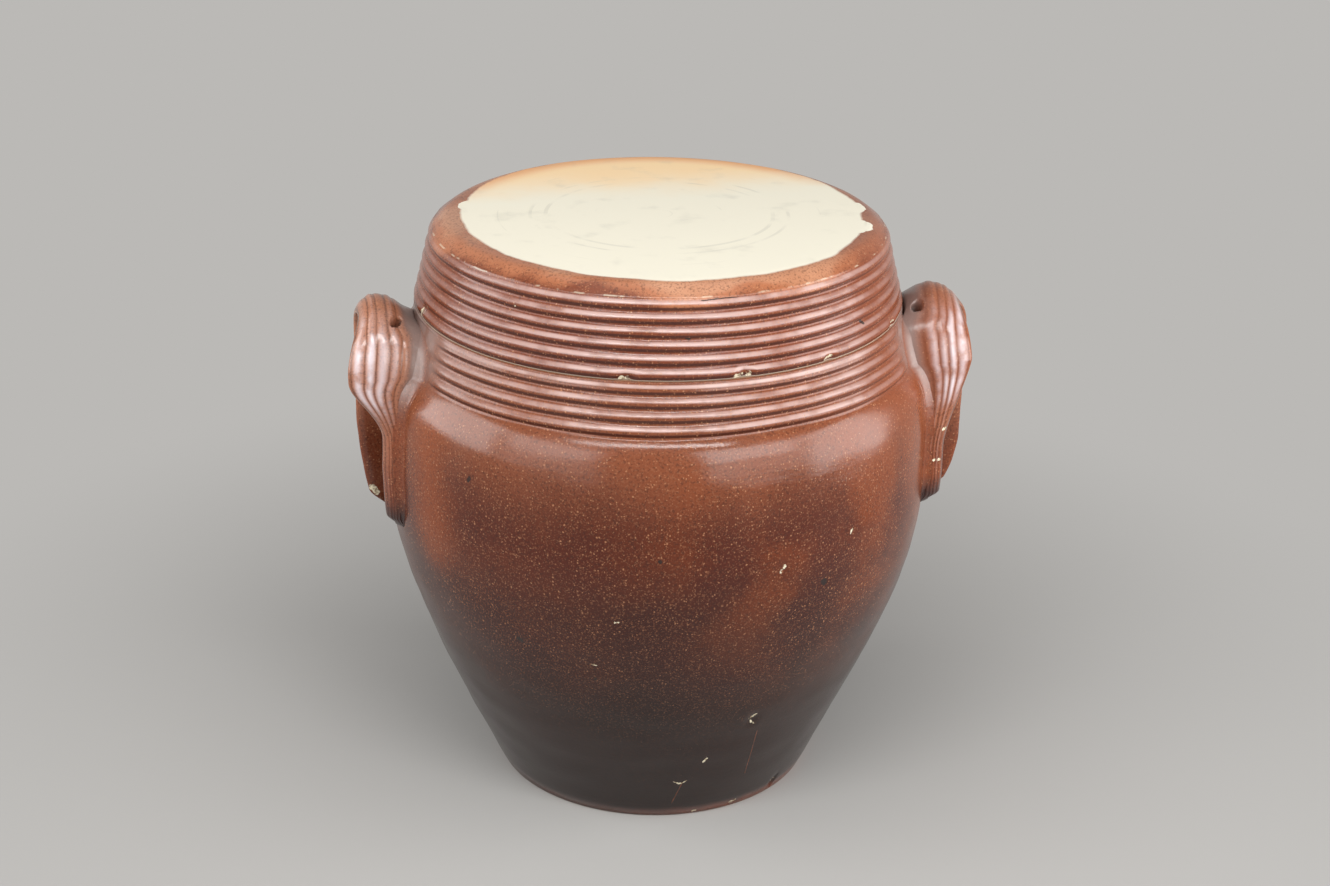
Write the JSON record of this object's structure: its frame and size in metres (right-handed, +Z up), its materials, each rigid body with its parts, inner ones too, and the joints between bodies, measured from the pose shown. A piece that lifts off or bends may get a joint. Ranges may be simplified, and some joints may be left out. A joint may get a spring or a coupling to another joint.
{
  "type": "lidded stoneware jar",
  "caption": "Round-bellied stoneware larder jar with a ridged neck, a lift-off lid and ear handles at its sides.",
  "frame": {"origin": "centre of the foot's underside, on the jar's axis", "axes": "+Z up along the jar's axis, handles at -X and +X, a little towards the front at -Y, where their string holes face"},
  "size_m": [0.2769, 0.241, 0.2574],
  "materials": {
    "pot_glaze": "gloss",
    "handle_glaze": "gloss",
    "lid_glaze": "gloss"
  },
  "bodies": {
    "jar": {"jar_body": "pot_glaze", "left_handle": "handle_glaze", "right_handle": "handle_glaze"},
    "lid": {"lid": "lid_glaze"}
  },
  "joints": [
    {"name": "lid_lift", "type": "slide", "parent": "jar", "child": "lid", "axis": [0, 0, 1], "range_m": [0, 0.06]}
  ]
}
